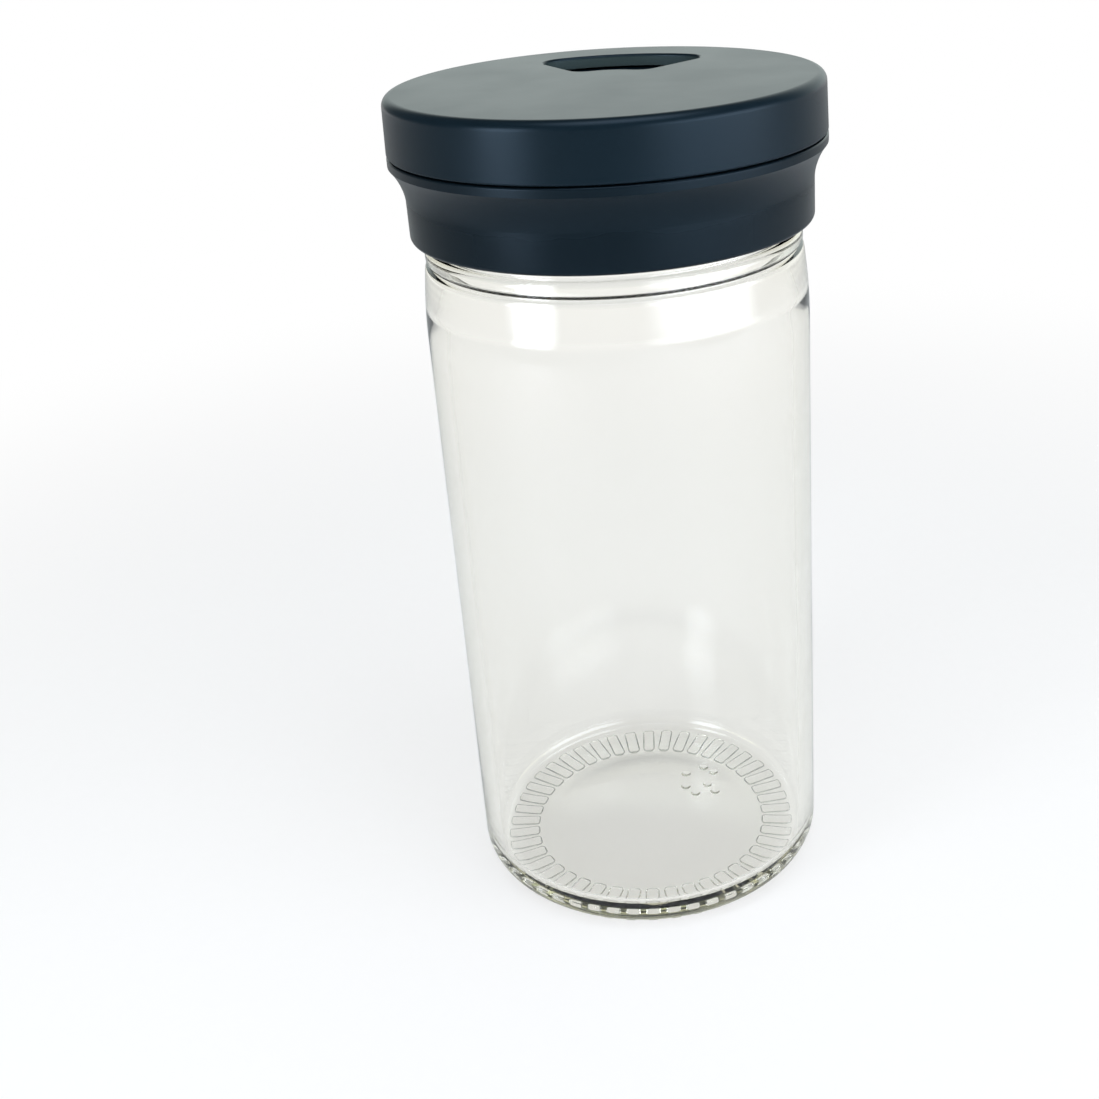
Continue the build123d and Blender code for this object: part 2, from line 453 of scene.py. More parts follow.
@dataclass(frozen=True)
class RoundedSector:
    """Flat ring sector with rounded corners: the cap's window and the deck's openings."""

    inner: float
    outer: float
    half_angle: float
    inner_corner: float
    outer_corner: float
    middle: float
    # Steps of the outer arc, an outer corner, an inner corner and the inner arc
    steps: tuple = (40, 12, 10, 24)

    def cutter(self, name: str, low: float, high: float) -> Piece:
        """Closed block of the sector's outline between two heights in millimetres."""
        out_reach, in_reach = self.outer - self.outer_corner, self.inner + self.inner_corner
        out_lean = math.degrees(math.asin(self.outer_corner / out_reach))
        in_lean = math.degrees(math.asin(self.inner_corner / in_reach))
        out_half, in_half = self.half_angle - out_lean, self.half_angle - in_lean
        side_high = out_reach * math.cos(math.radians(out_lean))
        side_low = in_reach * math.cos(math.radians(in_lean))
        first, last = self.middle - self.half_angle, self.middle + self.half_angle
        axis = Vector()
        far, wide, tight, near = self.steps
        piece = start_line(name, polar(self.outer, self.middle - out_half, low))
        self._arc(axis, 2 * out_half, far)
        self._arc(polar(out_reach, self.middle + out_half), 90 + out_lean, wide)
        extrude_by(polar(side_low, last) - polar(side_high, last))
        self._arc(polar(in_reach, self.middle + in_half), 90 - in_lean, tight)
        self._arc(axis, -2 * in_half, near)
        self._arc(polar(in_reach, self.middle - in_half), 90 - in_lean, tight)
        extrude_by(polar(side_high, first) - polar(side_low, first))
        self._arc(polar(out_reach, self.middle - out_half), 90 + out_lean, wide)
        bpy.ops.mesh.select_all(action="SELECT")
        bpy.ops.mesh.remove_doubles(threshold=SAME_POINT)
        bpy.ops.mesh.edge_face_add()
        extrude_by(Vector((0, 0, mm(high - low))))
        close_up(piece)
        return piece

    def _arc(self, centre: Vector, angle: float, steps: int) -> None:
        """Spins the line's end about a centre by an angle in degrees."""
        bpy.ops.mesh.spin(steps=steps, angle=math.radians(angle), center=centre, axis=SPIN_AXIS)


@dataclass(frozen=True)
class ThreadRib:
    """One helical rib of a screw thread, in millimetres."""

    wall: float
    height: float
    root: float
    crest: float
    start: float
    pitch: float = 4.5
    turns: float = 1.25
    bite: float = 0.3
    rounding: float = 0.25
    fade: float = 14.0
    end_share: float = 0.03
    steps: int = 96

    def build(self, name: str) -> Piece:
        """Rib whose two ends run out into the wall, closed and ready to be fused on."""
        side = math.copysign(1, self.height)
        flank = (self.root - self.crest) * self.bite / abs(self.height)
        rows = [
            Corner(self.wall - side * self.bite, self.start - self.root / 2 - flank / 2),
            Corner(self.wall + self.height, self.start - self.crest / 2, self.rounding),
            Corner(self.wall + self.height, self.start + self.crest / 2, self.rounding),
            Corner(self.wall - side * self.bite, self.start + self.root / 2 + flank / 2),
        ]
        piece = draw_half_section(name, rows)
        edit_all(piece)
        bpy.ops.mesh.edge_face_add()
        leave_edit()
        steps = round(self.steps * self.turns)
        apply_modifier(
            piece,
            "SCREW",
            angle=FULL_TURN * self.turns,
            screw_offset=mm(self.pitch * self.turns),
            steps=steps,
            render_steps=steps,
            use_smooth_shade=False,
        )
        edit_all(piece)
        bpy.ops.mesh.fill_holes(sides=0)
        leave_edit()
        self._run_out(piece, side)
        close_up(piece)
        return piece

    def _run_out(self, piece: Piece, side: float) -> None:
        """Sinks the rib's two ends into the wall over a short turn."""
        sunk = mm(self.wall - side * self.bite)
        for vertex in piece.data.vertices:
            x, y, z = vertex.co
            part = math.atan2(y, x) / FULL_TURN
            turned = part + round((z - mm(self.start)) / mm(self.pitch) - part)
            to_end = 360 * min(turned, self.turns - turned)
            share = max(self.end_share, min(1.0, to_end / self.fade))
            radius = math.hypot(x, y)
            target = sunk + (radius - sunk) * share * share * (3 - 2 * share)
            vertex.co.x, vertex.co.y = x * target / radius, y * target / radius


# Finishes


def add_node(tree: Tree, kind: str, inputs: dict | None = None, **settings) -> Node:
    """Adds a node, sets it and feeds its inputs.

    Args:
        tree: The material's or the world's node tree.
        kind: Blender's type of node, without the ShaderNode that all of them start with.
        inputs: Values for its sockets, or the sockets that feed them, by name or number.
        settings: Values for the node's own properties.

    Returns:
        The new node.
    """
    node = tree.nodes.new("ShaderNode" + kind)
    for key, value in settings.items():
        setattr(node, key, value)
    for key, value in (inputs or {}).items():
        if isinstance(value, Socket):
            tree.links.new(value, node.inputs[key])
        else:
            node.inputs[key].default_value = value
    return node


def new_material(name: str) -> tuple[bpy.types.Material, Tree]:
    """Empty node material and its tree."""
    material = bpy.data.materials.new(name)
    material.use_nodes = True
    material.node_tree.nodes.clear()
    return material, material.node_tree


def noise(
    tree: Tree, grain_mm: float, detail: float = 2.0, stretch: tuple = (1.0, 1.0, 1.0)
) -> Socket:
    """Noise of a real grain size, on the piece's own coordinates.

    Args:
        tree: The material's node tree.
        grain_mm: Size of a grain in millimetres.
        detail: Octaves of finer noise.
        stretch: How much longer a grain is along X, Y and Z.

    Returns:
        The noise's value, from 0 to 1.
    """
    place = add_node(tree, "TexCoord").outputs["Object"]
    shares = tuple(1 / s for s in stretch)
    mapped = add_node(tree, "Mapping", {"Vector": place, "Scale": shares})
    inputs = {"Vector": mapped.outputs[0], "Scale": 1 / mm(grain_mm), "Detail": detail}
    return add_node(tree, "TexNoise", inputs).outputs["Fac"]


def ramp(
    tree: Tree, value: Socket, span: tuple, levels: tuple, kind: str = "SMOOTHSTEP"
) -> Socket:
    """Step of a value from one level to another over a span.

    Args:
        tree: The node tree.
        value: The socket that gives the value.
        span: The values at which the step starts and ends.
        levels: The levels before and after it.
        kind: SMOOTHSTEP or LINEAR.

    Returns:
        The level.
    """
    names = ("From Min", "From Max", "To Min", "To Max")
    inputs = {"Value": value, **dict(zip(names, (*span, *levels)))}
    return add_node(tree, "MapRange", inputs, interpolation_type=kind).outputs["Result"]


def between(tree: Tree, value: Socket, low: float, high: float) -> Socket:
    """Noise value spread over a range: its usual 0.3 to 0.7 becomes low to high."""
    return ramp(tree, value, (0.3, 0.7), (low, high), "LINEAR")


def calculate(tree: Tree, operation: str, first: Socket, second: Socket | float = 0.0) -> Socket:
    """Result of one sum on two values."""
    node = add_node(tree, "Math", {0: first, 1: second}, operation=operation)
    return node.outputs[0]


def blend_colours(tree: Tree, share: Socket, first: Socket | str, second: Socket | str) -> Socket:
    """Mix of two colours, each an sRGB hex code or a socket, by a share from 0 to 1."""
    first, second = (linear(c) if isinstance(c, str) else c for c in (first, second))
    inputs = {"Factor": share, 6: first, 7: second}
    return add_node(tree, "Mix", inputs, data_type="RGBA").outputs[2]


def mix_shaders(tree: Tree, share: Socket, first: Node, second: Node) -> Node:
    """Mix of two shaders by a share from 0 to 1."""
    return add_node(tree, "MixShader", {0: share, 1: first.outputs[0], 2: second.outputs[0]})


def bump(tree: Tree, value: Socket, height_mm: float, under: Socket | None = None) -> Socket:
    """Bump of a real height, over another normal where one is given."""
    inputs = {"Height": value, "Distance": mm(height_mm), "Strength": 1.0}
    if under is not None:
        inputs["Normal"] = under
    return add_node(tree, "Bump", inputs).outputs["Normal"]


@dataclass(frozen=True)
class PressedGlass:
    """Clear soda-lime glass out of a mould: bright, a little wavy, green only in its depth."""

    name: str = "pressed_soda_lime_glass"
    index: float = 1.52
    depth_colour: str = "c7c38f"
    depth_density: float = 36.0
    wave_mm: float = 11.0
    wave_height_mm: float = 0.03
    film_mm: float = 14.0
    film_roughness: float = 0.015

    def material(self) -> bpy.types.Material:
        """Glass with slow vertical waves that bend what shows through it, as a mould leaves."""
        material, tree = new_material(self.name)
        waves = noise(tree, self.wave_mm, detail=1.0, stretch=(1.0, 1.0, 5.0))
        film = noise(tree, self.film_mm, detail=3.0)
        surface = {
            "Base Color": linear("ffffff"),
            "Roughness": between(tree, film, 0.0, self.film_roughness),
            "IOR": self.index,
            "Transmission Weight": 1.0,
            "Normal": bump(tree, waves, self.wave_height_mm),
        }
        glass = add_node(tree, "BsdfPrincipled", surface)
        thick = {"Color": linear(self.depth_colour), "Density": self.depth_density}
        depth = add_node(tree, "VolumeAbsorption", thick)
        ends = {"Surface": glass.outputs[0], "Volume": depth.outputs[0]}
        add_node(tree, "OutputMaterial", ends)
        return material


@dataclass(frozen=True)
class EtchedBlackPlastic:
    """Black polypropylene from a spark-etched mould: a dry fine grain, a little cold in tone."""

    name: str
    roughness: float
    rubbed_from: float
    rubbed_to: float
    rubbed_gloss: float
    dark: str = "0a151b"
    pale: str = "0d1920"
    spread: float = 0.015
    cloud_mm: float = 9.0
    cloud_height_mm: float = 0.003
    grain_mm: float = 0.16
    grain_height_mm: float = 0.004
    specular: float = 0.14
    gleam: str = "cbe8ff"
    # A paler colour painted on the walls inside the cap's window, as painted light where they
    # catch light from above; the radii and heights below say where it fades out, and an empty
    # colour paints none
    film: str = ""
    painted_light_radii: tuple = (20.6, 21.6)
    painted_light_heights: tuple = (111.5, 111.9)

    def material(self) -> bpy.types.Material:
        """Near-black shell whose grain scatters the light to a soft grey sheen.

        The flow of the plastic gives broad faint clouds, and the edge that the lid is turned by
        is rubbed a little smoother. The walls inside the cap's window are painted paler: painted
        light where they catch the light from above.
        """
        material, tree = new_material(self.name)
        clouds = noise(tree, self.cloud_mm, detail=3.0)
        grain = noise(tree, self.grain_mm)
        low, high = self.roughness - self.spread, self.roughness + self.spread
        rough = between(tree, clouds, low, high)
        place = add_node(tree, "TexCoord").outputs["Object"]
        height = add_node(tree, "SeparateXYZ", {"Vector": place}).outputs["Z"]
        span = (mm(self.rubbed_from), mm(self.rubbed_to))
        rubbed = ramp(tree, height, span, (0.0, self.rubbed_gloss))
        rough = calculate(tree, "SUBTRACT", rough, rubbed)
        slow = bump(tree, clouds, self.cloud_height_mm)
        colour = blend_colours(tree, clouds, self.dark, self.pale)
        surface = {
            "Base Color": self._with_painted_light(tree, colour, place, height) if self.film else colour,
            "Roughness": rough,
            "Specular IOR Level": self.specular,
            "Specular Tint": linear(self.gleam),
            "Normal": bump(tree, grain, self.grain_height_mm, slow),
        }
        shell = add_node(tree, "BsdfPrincipled", surface)
        add_node(tree, "OutputMaterial", {"Surface": shell.outputs[0]})
        return material

    def _with_painted_light(self, tree: Tree, colour: Socket, place: Socket, height: Socket) -> Socket:
        """Colour with painted light: paler on the walls inside the window, under the cap's top
        face.
        """
        level = add_node(tree, "VectorMath", {0: place, 1: (1, 1, 0)}, operation="MULTIPLY")
        radius = add_node(tree, "VectorMath", {0: level.outputs[0]}, operation="LENGTH")
        reach, top = (tuple(map(mm, span)) for span in (self.painted_light_radii, self.painted_light_heights))
        inside = ramp(tree, radius.outputs["Value"], reach, (1.0, 0.0))
        share = calculate(tree, "MULTIPLY", inside, ramp(tree, height, top, (1.0, 0.0)))
        return blend_colours(tree, share, colour, self.film)


@dataclass(frozen=True)
class MilkySilicone:
    """Moulded silicone of the sealing ring: milky, soft and slightly dusty."""

    name: str = "moulded_milky_silicone"
    pale: str = "e4e1d8"
    deep: str = "d2cfc4"
    cloud_mm: float = 5.0
    dust_mm: float = 1.2
    soak_mm: tuple = (1.2, 1.0, 0.8)
    grain_mm: float = 0.3
    grain_height_mm: float = 0.006

    def material(self) -> bpy.types.Material:
        """Pale rubber that light soaks into, with a dry fine grain."""
        material, tree = new_material(self.name)
        clouds = noise(tree, self.cloud_mm, detail=3.0)
        surface = {
            "Base Color": blend_colours(tree, clouds, self.deep, self.pale),
            "Roughness": between(tree, noise(tree, self.dust_mm), 0.45, 0.6),
            "Subsurface Weight": 0.3,
            "Subsurface Radius": tuple(map(mm, self.soak_mm)),
            "Normal": bump(tree, noise(tree, self.grain_mm), self.grain_height_mm),
        }
        rubber = add_node(tree, "BsdfPrincipled", surface)
        add_node(tree, "OutputMaterial", {"Surface": rubber.outputs[0]})
        return material


# Pieces of the jar

# The cap's nub and the deck's dimples: the radius that they lie at and that of their balls
CLICK_ROW = 24.7
CLICK_BALL = 0.8


@dataclass
class GlassJar:
    """Moulded glass body with its finish, bead, thread and ribbed base, in millimetres."""

    finish: PressedGlass = field(default_factory=PressedGlass)
    body: float = 25.0
    height: float = 107.5
    wall: float = 2.2
    floor: float = 3.3
    floor_crown: float = 0.45
    heel: float = 3.5
    inner_heel: float = 2.0
    push_up: float = 16.5
    push_up_depth: float = 1.3
    mouth: float = 20.6
    neck: float = 22.9
    bead: float = 24.2
    bead_top: float = 93.1
    bead_bottom: float = 91.3
    groove: float = 0.75
    shoulder: float = 24.35
    shoulder_top: float = 90.6
    shoulder_length: float = 12.0
    inner_shoulder_length: float = 8.0
    steps: int = 308
    rib_count: int = 44
    rib_rise: float = 0.35
    rib_inner: float = 17.0
    rib_outer: float = 22.7
    rib_width: float = 1.9
    rib_top: float = 1.6
    rib_corner: float = 0.55
    rib_crest: float = 0.28
    wall_wave: float = 0.08
    wave_length: float = 16.0
    mark_rows: tuple = (
        (8.25, (38.0, 54.0)),
        (11.22, (32.0, 43.0, 66.0)),
        (14.36, (52.0, 60.0)),
    )
    mark_radius: float = 0.75
    mark_rise: float = 0.3
    thread_drop: float = 8.9

    def build(self) -> Piece:
        """Turns the glass, raises the base ribs, fuses the thread and marks, and dresses it."""
        piece = draw_half_section("glass_body", self._corners())
        subdivide_runs(piece, 5.0)
        turn_section(piece, self.steps, closed=False)
        self._wave_inner_wall(piece)
        combine(piece, self._base_ribs(), "UNION")
        combine(piece, self._mould_marks(), "UNION")
        start = self.height - self.thread_drop
        rib = ThreadRib(self.neck, height=1.0, root=2.2, crest=1.0, start=start)
        combine(piece, rib.build("glass_thread"), "UNION")
        close_up(piece, AFTER_JOIN)
        return dress(piece, self.finish.material())

    def _corners(self) -> list[Corner]:
        """Half section from the crown of the floor, up inside, down outside, to the push-up."""
        inner = self.body - self.wall
        floor_edge = inner - self.inner_heel
        crown, roof = self.floor + self.floor_crown, self.rib_rise + self.push_up_depth
        floor = dome_line(floor_edge, self.floor, crown, steps=7)
        under = dome_line(self.push_up, self.rib_rise, roof, steps=9)
        return [
            Corner(0, crown),
            *reversed(floor),
            Corner(inner, self.floor, self.inner_heel),
            Corner(inner, self.bead_top - self.inner_shoulder_length, 5.0),
            Corner(self.mouth, self.bead_top, 5.0),
            Corner(self.mouth, self.height, 0.7),
            Corner(self.neck, self.height, 0.9),
            Corner(self.neck, self.bead_top, 0.4),
            Corner(self.bead, self.bead_top, 0.8),
            Corner(self.bead, self.bead_bottom, 0.8),
            Corner(self.bead - self.groove, (self.bead_bottom + self.shoulder_top) / 2, 0.3),
            Corner(self.shoulder, self.shoulder_top, 0.9),
            Corner(self.body, self.shoulder_top - self.shoulder_length / 2, 52.0),
            Corner(self.body, self.rib_rise, self.heel),
            Corner(self.rib_inner, self.rib_rise),
            *under,
            Corner(0, roof),
        ]

    def _wave_inner_wall(self, piece: Piece) -> None:
        """Gives the inside the slow unevenness that blown glass keeps where no mould meets it."""
        inside = piece.vertex_groups.new(name="inside")
        reach = mm(self.body - self.wall + 0.02)
        chosen = [
            v.index
            for v in piece.data.vertices
            if math.hypot(v.co.x, v.co.y) < reach and v.co.z > mm(self.floor - 0.1)
        ]
        inside.add(chosen, 1.0, "REPLACE")
        cloud = bpy.data.textures.new("inner_wall_wave", "CLOUDS")
        cloud.noise_scale = mm(self.wave_length)
        apply_modifier(
            piece,
            "DISPLACE",
            texture=cloud,
            texture_coords="LOCAL",
            vertex_group="inside",
            strength=mm(self.wall_wave),
            mid_level=0.5,
        )
        piece.vertex_groups.clear()

    def _base_ribs(self) -> Piece:
        """Radial ribs that the jar stands on: one is shaped and then copied round the base."""
        middle = polar((self.rib_inner + self.rib_outer) / 2, 0, self.rib_top / 2)
        rib = add_block(middle, self.rib_outer - self.rib_inner, self.rib_width, self.rib_top)
        mark_edges(rib, lambda a, b: abs(a.z - b.z) > mm(1))
        bevel_marked(self.rib_corner, segments=5)
        mark_edges(rib, lambda a, b: a.z < mm(0.01) and b.z < mm(0.01))
        bevel_marked(self.rib_crest, segments=4)
        ribs = [rib]
        for i in range(1, self.rib_count):
            work_on(rib)
            bpy.ops.object.duplicate()
            copy = bpy.context.object
            copy.rotation_euler.z = FULL_TURN * i / self.rib_count
            bpy.ops.object.transform_apply()
            ribs.append(copy)
        return join(ribs)

    def _mould_marks(self) -> Piece:
        """Round raised dots in three short rows on the roof of the push-up."""
        push_up_ball = (self.push_up**2 + self.push_up_depth**2) / (2 * self.push_up_depth)
        ball = (self.mark_radius**2 + self.mark_rise**2) / (2 * self.mark_rise)
        marks = []
        for row, angles in self.mark_rows:
            fall = push_up_ball - math.sqrt(push_up_ball**2 - row**2)
            roof = self.rib_rise + self.push_up_depth - fall
            for angle in angles:
                place = polar(row, angle, roof - self.mark_rise + ball)
                marks.append(add_ball(place, ball, segments=28, rings=18))
        return join(marks)


@dataclass
class MouthGasket:
    """Flat sealing ring between the glass rim and the deck, in millimetres."""

    finish: MilkySilicone = field(default_factory=MilkySilicone)
    inner: float = 20.2
    outer: float = 24.1
    low: float = 107.55
    high: float = 108.55
    rounding: float = 0.18
    steps: int = 192

    def build(self) -> Piece:
        """Turns the ring with its four small roundings and dresses it."""
        corners = [
            Corner(self.inner, (self.low + self.high) / 2),
            Corner(self.inner, self.low, self.rounding),
            Corner(self.outer, self.low, self.rounding),
            Corner(self.outer, self.high, self.rounding),
            Corner(self.inner, self.high, self.rounding),
        ]
        piece = draw_half_section("sealing_ring", corners)
        turn_section(piece, self.steps, closed=True)
        return dress(piece, self.finish.material())


@dataclass
class ScrewCollar:
    """Lower half of the lid: band, cove, flange, drum and sifter deck, in millimetres."""

    finish: EtchedBlackPlastic = field(
        default_factory=lambda: EtchedBlackPlastic(
            "etched_black_polypropylene_collar",
            # A darker copy of the cap's colours: painted shade, so that the cove under the flange
            # reads darker
            dark="071015",
            pale="0a141a",
            roughness=0.3,
            specular=0.16,
            rubbed_from=100.5,
            rubbed_to=97.5,
            rubbed_gloss=0.05,
        )
    )
    bore: float = 24.15
    thread_start: float = 97.0
    foot: float = 94.35
    band: float = 25.75
    band_top: float = 99.3
    flange: float = 27.5
    flange_low: float = 103.7
    flange_top: float = 104.8
    cove: float = 7.0
    snap_groove: float = 25.55
    groove_top: float = 106.3
    drum: float = 26.0
    deck_low: float = 108.6
    deck_top: float = 110.2
    hole_radius: float = 1.497
    hole_rows: tuple = ((9.92, 3), (13.69, 4), (17.46, 5))
    hole_half_angle: float = 36.5
    hole_edge: float = 2.3
    hole_tool: float = 4.0
    hole_break: float = 0.12
    sprinkle_middle: float = 210.0
    pour: RoundedSector = RoundedSector(7.82, 18.96, 33.08, 1.2, 2.2, 330.0)
    channel: RoundedSector = RoundedSector(21.45, 23.55, 123.7, 0.6, 0.6, 30.0)
    channel_depth: float = 0.8
    dimple_angles: tuple = (90.0, 210.0, 330.0)
    dimple_depth: float = 0.2
    steps: int = 288

    def build(self) -> Piece:
        """Turns the collar, cuts its deck, fuses its thread and dresses it."""
        piece = draw_half_section("lid_collar", self._corners())
        turn_section(piece, self.steps, closed=False)
        combine(piece, self._deck_tool(), "DIFFERENCE")
        rib = ThreadRib(self.bore, height=-0.95, root=1.9, crest=0.9, start=self.thread_start)
        combine(piece, rib.build("collar_thread"), "UNION")
        close_up(piece, AFTER_JOIN)
        merge_flat_faces(piece, self.deck_top)
        merge_flat_faces(piece, self.deck_low)
        round_rims(piece, self.deck_top, self.pour.outer, self.hole_break, 2)
        return dress(piece, self.finish.material())

    def _corners(self) -> list[Corner]:
        """Half section from under the deck, down the bore and up the outside."""
        band_edge = Corner(self.band, self.band_top)
        flange_edge = Corner(self.flange, self.flange_low)
        return [
            Corner(0, self.deck_low),
            Corner(self.bore, self.deck_low),
            Corner(self.bore, self.foot, 0.4),
            Corner(self.band, self.foot, 0.5),
            band_edge,
            hollow_corner(band_edge, flange_edge, self.cove),
            flange_edge,
            Corner(self.flange, self.flange_top, 0.25),
            Corner(self.snap_groove, self.flange_top),
            Corner(self.snap_groove, self.groove_top),
            Corner(self.drum, self.groove_top),
            Corner(self.drum, self.deck_top, 0.4),
            Corner(0, self.deck_top),
        ]

    def _deck_tool(self) -> Piece:
        """One cutter for the sifter holes, the pour opening, the stop channel and the dimples."""
        low, high = self.deck_low - 1, self.deck_top + 1
        tools = [
            self.pour.cutter("pour_cutter", low, high),
            self.channel.cutter("stop_channel", self.deck_top - self.channel_depth, high),
        ]
        middle = (self.deck_low + self.deck_top) / 2
        for radius, count in self.hole_rows:
            half = self.hole_half_angle - math.degrees(self.hole_edge / radius)
            for i in range(count):
                angle = self.sprinkle_middle + half * (2 * i / (count - 1) - 1)
                deselect_everything()
                bpy.ops.mesh.primitive_cylinder_add(
                    vertices=36,
                    radius=mm(self.hole_radius),
                    depth=mm(self.hole_tool),
                    location=polar(radius, angle, middle),
                )
                bpy.ops.object.transform_apply()
                tools.append(bpy.context.object)
        for angle in self.dimple_angles:
            place = polar(CLICK_ROW, angle, self.deck_top + CLICK_BALL - self.dimple_depth)
            tools.append(add_ball(place, CLICK_BALL))
        return join(tools)


@dataclass
class RotaryCap:
    """Upper half of the lid: flat disc, skirt, window, snap ring, lug and nub, in millimetres."""

    finish: EtchedBlackPlastic = field(
        default_factory=lambda: EtchedBlackPlastic(
            "etched_black_polypropylene_cap",
            roughness=0.34,
            rubbed_from=109.5,
            rubbed_to=111.6,
            rubbed_gloss=0.04,
            # Painted light: a paler colour on the walls inside the window, where light from above
            # falls
            film="3a4645",
        )
    )
    radius: float = 27.5
    draft: float = 0.2
    top: float = 112.0
    foot: float = 105.0
    under: float = 110.5
    bore: float = 26.15
    snap: float = 25.7
    edge: float = 1.2
    window: RoundedSector = RoundedSector(7.02, 19.76, 36.5, 2.0, 3.0, 90.0)
    window_edge: float = 0.35
    lug_place: tuple = (22.5, 270.0, 110.475)
    lug_size: tuple = (2.2, 1.4, 1.55)
    lug_break: float = 0.2
    nub_height: float = 0.25
    steps: int = 288

    def build(self) -> Piece:
        """Turns the cap, cuts its window, fuses its lug and nub, and dresses it."""
        piece = draw_half_section("lid_cap", self._corners())
        turn_section(piece, self.steps, closed=False)
        window = self.window.cutter("window_cutter", self.under - 1, self.top + 1)
        combine(piece, window, "DIFFERENCE")
        combine(piece, self._lug(), "UNION")
        nub = polar(CLICK_ROW, self.window.middle, self.under - self.nub_height + CLICK_BALL)
        combine(piece, add_ball(nub, CLICK_BALL), "UNION")
        close_up(piece, AFTER_JOIN)
        merge_flat_faces(piece, self.top)
        merge_flat_faces(piece, self.under)
        round_rims(piece, self.top, self.window.outer, self.window_edge, 7)
        return dress(piece, self.finish.material())

    def _corners(self) -> list[Corner]:
        """Half section from the top's centre, down the skirt and back under the disc."""
        return [
            Corner(0, self.top),
            Corner(self.radius - self.draft, self.top, self.edge),
            Corner(self.radius, self.foot, 0.25),
            Corner(self.bore, self.foot),
            Corner(self.bore, self.foot + 0.15),
            Corner(self.snap, self.foot + 0.35),
            Corner(self.snap, self.foot + 0.85),
            Corner(self.bore, self.foot + 1.05),
            Corner(self.bore, self.under),
            Corner(0, self.under),
        ]

    def _lug(self) -> Piece:
        """Stop lug that runs in the deck's channel."""
        lug = add_block(polar(*self.lug_place), *self.lug_size)
        low = mm(self.lug_place[2])
        mark_edges(lug, lambda a, b: a.z < low and b.z < low)
        bevel_marked(self.lug_break, segments=2)
        return lug


# Studio


class Light(Enum):
    """The soft lamps round the jar, by where each stands."""

    LEFT = "left_strip"
    RIGHT = "right_softbox"
    TOP = "top_softbox"


@dataclass(frozen=True)
class Softbox:
    """One rectangular soft lamp with feathered edges, in metres and watts."""

    kind: Light
    place: tuple[float, float, float]
    width: float
    height: float
    power: float
    aim: tuple[float, float, float] = (0.0, 0.0, 0.12)
    colour: str = "ecf3ff"
    feather: float = 0.7

    def build(self) -> None:
        """Adds the lamp, turned towards the jar."""
        deselect_everything()
        bpy.ops.object.light_add(type="AREA", location=self.place)
        lamp = bpy.context.object
        lamp.name = lamp.data.name = self.kind.value
        lamp.data.shape = "RECTANGLE"
        lamp.data.size, lamp.data.size_y = self.width, self.height
        lamp.data.energy = self.power
        lamp.data.color = linear(self.colour)[:3]
        self._feather(lamp.data)
        away = Vector(self.place) - Vector(self.aim)
        lamp.rotation_euler = away.to_track_quat("Z", "Y").to_euler()
        lamp.visible_camera = False

    def _feather(self, lamp: bpy.types.AreaLight) -> None:
        """Fades the light towards the lamp's four edges, as the cloth of a softbox does."""
        lamp.use_nodes = True
        tree = lamp.node_tree
        tree.nodes.clear()
        place = add_node(tree, "NewGeometry").outputs["Parametric"]
        across = add_node(tree, "SeparateXYZ", {"Vector": place})
        shares = []
        for axis in ("X", "Y"):
            off = calculate(tree, "SUBTRACT", across.outputs[axis], 0.5)
            far = calculate(tree, "ABSOLUTE", off)
            shares.append(ramp(tree, far, (0.5 - self.feather / 2, 0.5), (1.0, 0.0)))
        both = calculate(tree, "MULTIPLY", *shares)
        light = add_node(tree, "Emission", {"Strength": both})
        add_node(tree, "OutputLight", {"Surface": light.outputs[0]})


